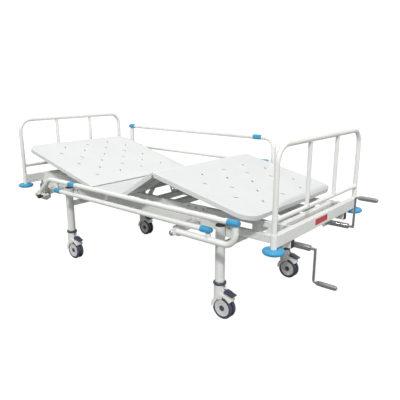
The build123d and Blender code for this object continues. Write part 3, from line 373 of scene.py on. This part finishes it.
def pressed(panel, origin, angle, toward, rows, body):
    c, s = math.cos(math.radians(angle)), math.sin(math.radians(angle))
    x = Vector((toward * c, 0, s if toward < 0 else -s))
    z = Vector((s, 0, c))
    y = z.cross(x)
    for k, (u, v) in enumerate(rows):
        at = Vector(origin) + x * (u / 1000) + y * (v / 1000) + z * 0.0080
        turn = 35 if k % 2 else -35
        rim(f"rim_{panel}_{k}", at, x, z, turn, body, LIP, 0.0062, "panel_paint")
        # the lip lining each slot gets the near-black painted-shade colour, not the panel's paint
        rim(f"lining_{panel}_{k}", at, x, z, turn, body, WALL, 0.0022, "slot_shade_paint")


pressed("back", (MX - 0.253, 0, 0.595), 14.0, -1,
        [(u, v) for u in (155, 361, 571) for v in (-300, -100, 100, 300)] +
        [(u, v) for u in (256, 463, 676) for v in (-200, 0, 200)], "back")
knee_x = MX + 0.024 + 0.306 * math.cos(math.radians(31.5))
knee_z = 0.595 + 0.306 * math.sin(math.radians(31.5))
pressed("leg", (knee_x, 0, knee_z), 12.0, 1,
        [(u, v) for u in (150, 362, 567) for v in (-200, 0, 200)] +
        [(u, v) for u in (255, 464) for v in (-300, -100, 100, 300)], "leg")

# ------------------------------------------------------------------ welds
BX = {"head": MX - 1.065, "foot": MX + 1.065}
for end, x in BX.items():
    body = f"{end}_board"
    for s in (-1, 1):
        bead(f"weld_{end}_rail_{'n' if s < 0 else 'f'}", (x, s * (0.455 - 0.0128), 0.644), (0, 1, 0), 0.0112, body)
        bead(f"weld_{end}_bar_low_{'n' if s < 0 else 'f'}", (x, s * 0.153, 0.6555), (0, 0, 1), 0.0107, body)
        bead(f"weld_{end}_bar_top_{'n' if s < 0 else 'f'}", (x, s * 0.153, 0.976 - 0.0130), (0, 0, 1), 0.0107, body)

def seam(name, p, q, body, thick=0.0022):
    """Straight fillet weld with the same ripples."""
    p, q = Vector(p), Vector(q)
    d = q - p
    b = basis(d)
    n = max(6, int(d.length / 0.0018))
    bm = bmesh.new()
    rings = []
    for i in range(n + 1):
        t = thick * (1 + 0.15 * math.sin(i * 1.9) + 0.05 * math.sin(i * 0.6)) * (0.35 if i in (0, n) else 1)
        rings.append([bm.verts.new(p + d * (i / n) + b @ Vector((t * math.cos(u), t * math.sin(u), 0)))
                      for u in [2 * math.pi * k / 7 for k in range(7)]])
    for i in range(n):
        for k in range(7):
            j = (k + 1) % 7
            bm.faces.new((rings[i][k], rings[i + 1][k], rings[i + 1][j], rings[i][j]))
    bm.faces.new(rings[0])
    bm.faces.new(rings[-1][::-1])
    return finish_mesh(name, bm, "weld", body)


YZ = Matrix(((0, 0, 1), (1, 0, 0), (0, 1, 0)))      # local x -> Y, y -> Z, z -> X
XZ = Matrix(((1, 0, 0), (0, 0, 1), (0, 1, 0)))      # local x -> X, y -> Z, z -> Y
for end, x in BX.items():
    for s in (-1, 1):
        for o in (-1, 1):
            seam(f"weld_{end}_socket_{'n' if s < 0 else 'f'}{'a' if o < 0 else 'b'}",
                 (x + o * 0.0145, s * 0.4478, 0.5180), (x + o * 0.0145, s * 0.4478, 0.5720), "root", 0.0020)
            seam(f"weld_{end}_mainrail_{'n' if s < 0 else 'f'}{'a' if o < 0 else 'b'}",
                 (x + o * 0.0142 if abs(x + o * 0.0142 - MX) < 1.079 else x + o * 0.012, s * 0.2925, 0.5155),
                 (x + o * 0.0142 if abs(x + o * 0.0142 - MX) < 1.079 else x + o * 0.012, s * 0.3175, 0.5155), "root", 0.0018)
        # plugs in the open ends of the main rails
        plate(f"rail_plug_{end}_{'n' if s < 0 else 'f'}",
              (x + (0.0142 if end == "foot" else -0.0142), s * 0.305, 0.495), (0.0288, 0.0388, 0.0030),
              "black_plastic", "root", 0.0008, YZ, 0.003)
for end, x in LEG.items():
    for s in (-1, 1):
        for o in (-1, 1):
            seam(f"weld_{end}_tie_{'n' if s < 0 else 'f'}{'a' if o < 0 else 'b'}",
                 (x + o * 0.0150, s * 0.3285, 0.3875), (x + o * 0.0150, s * 0.3285, 0.4145), "root", 0.0020)
        for z in (0.3850, 0.4170):
            seam(f"weld_{end}_tie_{'n' if s < 0 else 'f'}_{int(z * 1000)}",
                 (x - 0.012, s * 0.3262, z), (x + 0.012, s * 0.3262, z), "root", 0.0020)

# painted shade: bluish-grey strips on the seat's edge at the back hinge gap, standing in for the shade in the gap
for s in (-1, 1):
    plate(f"gap_shade_strip_{'near' if s < 0 else 'far'}", (MX - 0.253 + 0.0065 + 0.0056, s * 0.2235, 0.60335),
          (0.0095, 0.409, 0.0009), "gap_shade_grey", "root", 0.0002)

# plain red blank plate where the foot beam carries its marking
plate("blank_plate", (MX + 1.0802, -0.008, 0.547), (0.138, 0.032, 0.0007), "label_red", "root",
      0.0002, YZ, 0.003)

# ------------------------------------------------------------------ cranks: ribbed sleeves
for nm, s in (("back", 1), ("knee", -1)):
    prof = [(0.0138, 0.0)]
    n = 15
    for k in range(n):
        h = 0.004 + k * 0.0078
        prof += [(0.0144, h), (0.0153, h + 0.0012), (0.0153, h + 0.0040), (0.0144, h + 0.0052)]
    prof += [(0.0138, 0.121)]
    lathe(f"sleeve_ribs_{nm}", prof, (MX + 1.0128, s * 0.227, 0.465), (1, 0, 0), "chrome", f"crank_{nm}", 72)

# ------------------------------------------------------------------ stage, light, camera
bpy.ops.mesh.primitive_plane_add(size=60, location=(0, 0, -0.0005))
floor = bpy.context.object
floor.name = "floor"
g = Graph("pale_floor")
g.to("Base Color", g.ramp(g.noise(0.8, 2.0), [(0.3, (0.080, 0.080, 0.081)), (0.7, (0.088, 0.088, 0.088))]))
g.to("Roughness", 0.8)
# the floor looks white, but bounces only a little light up under the bed
dim = g.node("ShaderNodeBsdfDiffuse", Color=(0.36, 0.37, 0.37, 1), Roughness=1.0)
ray = g.nt.nodes.new("ShaderNodeLightPath")
pick = g.nt.nodes.new("ShaderNodeMixShader")
g.nt.links.new(ray.outputs["Is Camera Ray"], pick.inputs[0])
g.nt.links.new(dim.outputs[0], pick.inputs[1])
g.nt.links.new(g.bsdf.outputs[0], pick.inputs[2])
g.nt.links.new(pick.outputs[0], g.nt.nodes["Material Output"].inputs["Surface"])
g.bsdf.inputs["Emission Color"].default_value = (1, 1, 1, 1)
g.bsdf.inputs["Emission Strength"].default_value = 0.95
floor.data.materials.append(g.mat)

world = bpy.data.worlds.new("studio")
bpy.context.scene.world = world
world.use_nodes = True
wn = world.node_tree
bg = wn.nodes["Background"]
# a lit ceiling over darker walls, so that sides and undersides read and chrome has something to show
direction = wn.nodes.new("ShaderNodeTexCoord").outputs["Generated"]
split = wn.nodes.new("ShaderNodeSeparateXYZ")
wn.links.new(direction, split.inputs[0])
walls = wn.nodes.new("ShaderNodeValToRGB")
wn.links.new(split.outputs["Z"], walls.inputs["Fac"])
cr = walls.color_ramp
cr.elements[0].position, cr.elements[0].color = 0.0, (0.50, 0.51, 0.52, 1)
cr.elements[1].position, cr.elements[1].color = 1.0, (1.0, 1.0, 1.0, 1)
for p_, v_ in ((0.03, 0.10), (0.12, 0.10), (0.17, 0.46), (0.28, 0.52), (0.45, 0.88)):
    el = cr.elements.new(p_)
    el.color = (v_, v_, v_ * 1.02, 1)
wn.links.new(walls.outputs["Color"], bg.inputs["Color"])
bg.inputs["Strength"].default_value = 0.86
white = wn.nodes.new("ShaderNodeBackground")
white.inputs["Color"].default_value = (1, 1, 1, 1)
white.inputs["Strength"].default_value = 1.05
path = wn.nodes.new("ShaderNodeLightPath")
mix = wn.nodes.new("ShaderNodeMixShader")
wn.links.new(path.outputs["Is Camera Ray"], mix.inputs[0])
wn.links.new(bg.outputs[0], mix.inputs[1])
wn.links.new(white.outputs[0], mix.inputs[2])
wn.links.new(mix.outputs[0], wn.nodes["World Output"].inputs["Surface"])


def sun(name, direction, strength, angle):
    d = bpy.data.lights.new(name, "SUN")
    d.energy = strength
    d.angle = math.radians(angle)
    o = bpy.data.objects.new(name, d)
    col.objects.link(o)
    o.rotation_euler = Vector(direction).to_track_quat("-Z", "Y").to_euler()


sun("key", (-0.30, 0.66, -0.72), 1.85, 5)
sun("fill", (-0.85, 0.10, -0.40), 0.55, 60)

cam = bpy.data.cameras.new("camera")
cam.sensor_width = 36.0
cam.lens = 40.64
eye = bpy.data.objects.new("camera", cam)
col.objects.link(eye)
a, e = math.radians(40.131), math.radians(14.539)
back = Vector((math.sin(a) * math.cos(e), -math.cos(a) * math.cos(e), math.sin(e)))
eye.location = (2.0453 + MX, -2.1323, 1.2348)
eye.rotation_euler = (-back).to_track_quat("-Z", "Y").to_euler()
bpy.context.scene.camera = eye
bpy.context.scene.view_settings.view_transform = "Standard"
